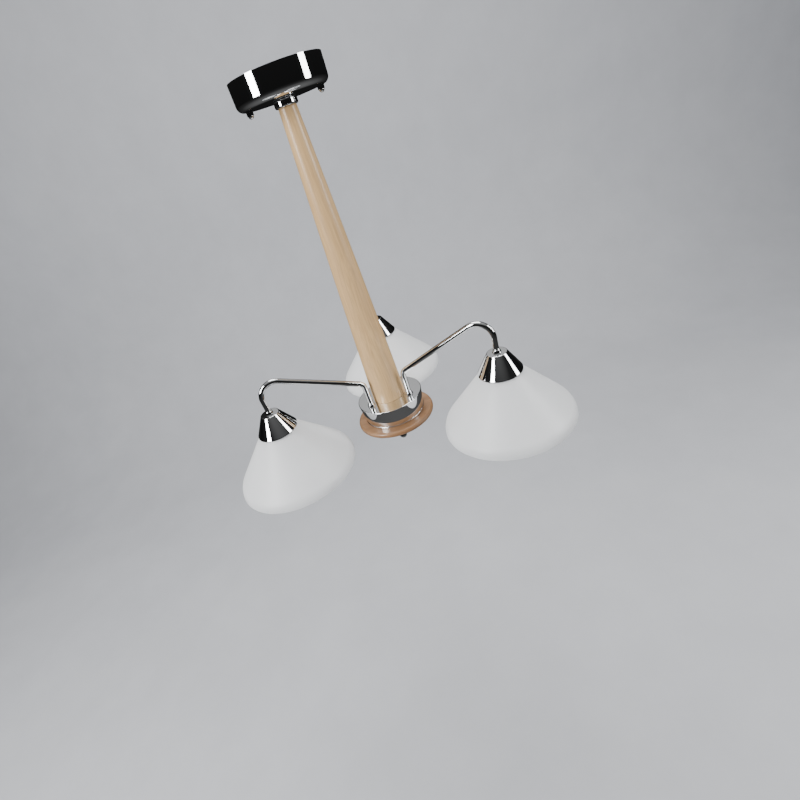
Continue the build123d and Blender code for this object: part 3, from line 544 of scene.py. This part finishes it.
# %% Helical ridge on each skirt
thread_r = 0.0196
thread_height = 0.0009
thread_pitch = 0.003
thread_turns = 5.2
thread_sides = 72          # steps in one turn
thread_start = 0.0016      # from the skirt's lower edge up to the first turn
thread_sink = 0.0002       # root of the ridge inside the skirt's wall
root_half = 0.0011         # half the ridge's width at its root
crest_half = 0.00045
run_out = 24               # steps over which either end fades


def make_thread(arm):
    """Trapezium swept round the skirt, rising one pitch in each turn."""
    low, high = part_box(f"holder_skirt_{arm}")
    axis = (low + high) / 2
    bottom = low.z + thread_start
    steps = round(thread_turns * thread_sides)
    corners, faces = [], []
    for step in range(steps + 1):
        angle = 2 * math.pi * step / thread_sides
        middle = bottom + thread_pitch * step / thread_sides
        fade = min(1, step / run_out, (steps - step) / run_out)
        crest = thread_r + thread_height * max(fade, 0.02)
        root = thread_r - thread_sink
        section = [(root, -root_half), (crest, -crest_half), (crest, crest_half), (root, root_half)]
        for radius, rise in section:
            corners.append((axis.x + radius * math.cos(angle),
                            axis.y + radius * math.sin(angle), middle + rise))
        if step:
            here, last = 4 * step, 4 * (step - 1)
            faces += [(last + n, here + n, here + (n + 1) % 4, last + (n + 1) % 4) for n in range(4)]
    faces += [(0, 1, 2, 3), (4 * steps + 3, 4 * steps + 2, 4 * steps + 1, 4 * steps)]
    return new_piece(f"skirt_thread_{arm}", corners, faces, f"arm_{arm}", slot_of[f"holder_skirt_{arm}"])


threads = [make_thread(arm) for arm in arm_names]
print("threads", len(threads), "of", thread_turns, "turns")

# %% [markdown]
# ## Studio
#
# The lamp hangs clear of everything in front of a plain pale sweep: a floor that curves up into a
# wall, so that no horizon shows. Chrome shows its surroundings more than itself, so the lights are
# large panels, and the dark space between them gives the metal its black edges.

# %% Floor and wall in one sweep
floor_z = lamp_foot - 0.80
sweep_half = 9.0
sweep_back = 2.2
sweep_front = -4.0
sweep_bend = 1.0
sweep_top = 3.2


def make_sweep():
    """Floor, quarter-round and wall as one smooth strip."""
    outline = [(sweep_front, floor_z)]
    steps = 24
    for step in range(steps + 1):
        angle = math.radians(90 * step / steps)
        outline.append((sweep_back - sweep_bend + sweep_bend * math.sin(angle),
                        floor_z + sweep_bend - sweep_bend * math.cos(angle)))
    outline.append((sweep_back, sweep_top))
    corners = [(side * sweep_half, y, z) for y, z in outline for side in (-1, 1)]
    faces = [(2 * n, 2 * n + 1, 2 * n + 3, 2 * n + 2) for n in range(len(outline) - 1)]
    mesh = bpy.data.meshes.new("sweep")
    mesh.from_pydata(corners, [], faces)
    mesh.shade_smooth()
    sweep = bpy.data.objects.new("sweep", mesh)
    bpy.context.scene.collection.objects.link(sweep)
    return sweep


sweep = make_sweep()
paper, tree, shader, place = new_material("pale_paper")
fleck = add(tree, "ShaderNodeTexNoise", {"Scale": 5.0, "Detail": 6.0, "Roughness": 0.65})
paper_tone = ramp(tree, [(0.3, (0.555, 0.565, 0.59)), (0.7, (0.60, 0.61, 0.635))])
join(tree, (place, fleck.inputs["Vector"]), (fleck.outputs["Fac"], paper_tone.inputs["Fac"]),
     (paper_tone.outputs["Color"], shader.inputs["Base Color"]))
shader.inputs["Roughness"].default_value = 0.9
sweep.data.materials.append(paper)
sweep.visible_glossy = False
print("sweep floor at", round(floor_z, 3))


# %% Lights
def area_light(name, place, target, width, height, power):
    """Rectangular soft light turned towards a target."""
    data = bpy.data.lights.new(name, "AREA")
    data.shape = "RECTANGLE"
    data.size, data.size_y = width, height
    data.energy = power
    light = bpy.data.objects.new(name, data)
    light.location = place
    light.rotation_mode = "QUATERNION"
    light.rotation_quaternion = (Vector(target) - Vector(place)).to_track_quat("-Z", "Y")
    bpy.context.scene.collection.objects.link(light)
    return light


area_light("key_panel", (-1.9, -1.3, 0.7), hub_top, 0.8, 1.6, 78)
area_light("fill_panel", (2.0, -0.6, 0.4), hub_top, 0.6, 1.6, 34)
area_light("top_panel", (0.1, 0.5, 1.6), hub_top, 1.4, 1.0, 34)
area_light("back_panel", (0.1, 2.0, 1.35), hub_top, 2.4, 1.3, 4.5)
print("lights placed")

# %% [markdown]
# ## Air
#
# The eye and the matt surfaces see even, pale air, which fills the shadows. Polished metal is given a
# darker room instead, near black at eye level and lighter overhead, because a studio is dark between
# its lamps. Without it chrome would look like grey paint. One world can do both: the Light Path node
# tells a mirror's ray from the others.

# %% World
world = bpy.data.worlds.new("studio_air")
bpy.context.scene.world = world
world.use_nodes = True
air = world.node_tree
soft = air.nodes["Background"]
soft.inputs["Color"].default_value = (0.49, 0.50, 0.53, 1)
soft.inputs["Strength"].default_value = 0.42
room_tones = [(0.0, 0.16), (0.30, 0.03), (0.50, 0.006), (0.72, 0.02), (0.86, 0.22), (1.0, 0.45)]
room = add(air, "ShaderNodeBackground", {"Strength": 1.0})
toward = add(air, "ShaderNodeTexCoord")
height = add(air, "ShaderNodeSeparateXYZ")
shade = ramp(air, [(place, grey(level)) for place, level in room_tones])
lift = add(air, "ShaderNodeMapRange", {"From Min": -1.0, "From Max": 1.0})
ray = add(air, "ShaderNodeLightPath")
blend = add(air, "ShaderNodeMixShader")
join(air, (toward.outputs["Generated"], height.inputs["Vector"]), (height.outputs["Z"], lift.inputs["Value"]),
     (lift.outputs[0], shade.inputs["Fac"]), (shade.outputs["Color"], room.inputs["Color"]),
     (ray.outputs["Is Glossy Ray"], blend.inputs["Fac"]), (soft.outputs[0], blend.inputs[1]),
     (room.outputs[0], blend.inputs[2]), (blend.outputs[0], air.nodes["World Output"].inputs["Surface"]))
print("air: pale for the eye, dark round the polished metal")

# %% [markdown]
# ## Camera
#
# The camera looks down on the lamp from a little above its arms and is rolled, so that the stem
# leans. Its place is given from the middle of the drum's top.

# %% Camera
camera_distance = 0.7441
camera_azimuth = -86.41      # of the camera's place round the drum, from +X
camera_height = 29.87        # degrees above the drum's top
camera_heading = 95.88       # of the view, from +X
camera_pitch = -33.06
camera_roll = -20.76
camera_lens = 20.71
camera_shift = (0.0209, 0.0293)


def make_camera():
    """Camera placed round the drum by its angles."""
    data = bpy.data.cameras.new("camera")
    data.sensor_width = 36
    data.lens = camera_lens
    data.shift_x, data.shift_y = camera_shift
    data.clip_start = 0.01
    camera = bpy.data.objects.new("camera", data)
    turn, rise = math.radians(camera_azimuth), math.radians(camera_height)
    camera.location = hub_top + camera_distance * Vector(
        (math.cos(turn) * math.cos(rise), math.sin(turn) * math.cos(rise), math.sin(rise)))
    heading, pitch = math.radians(camera_heading), math.radians(camera_pitch)
    level = math.cos(pitch)
    forward = Vector((math.cos(heading) * level, math.sin(heading) * level, math.sin(pitch)))
    upright = forward.to_track_quat("-Z", "Y")
    camera.rotation_mode = "QUATERNION"
    camera.rotation_quaternion = upright @ Matrix.Rotation(math.radians(camera_roll), 3, "Z").to_quaternion()
    bpy.context.scene.collection.objects.link(camera)
    bpy.context.scene.camera = camera
    return camera


camera = make_camera()
print("camera at", [round(v, 3) for v in camera.location])
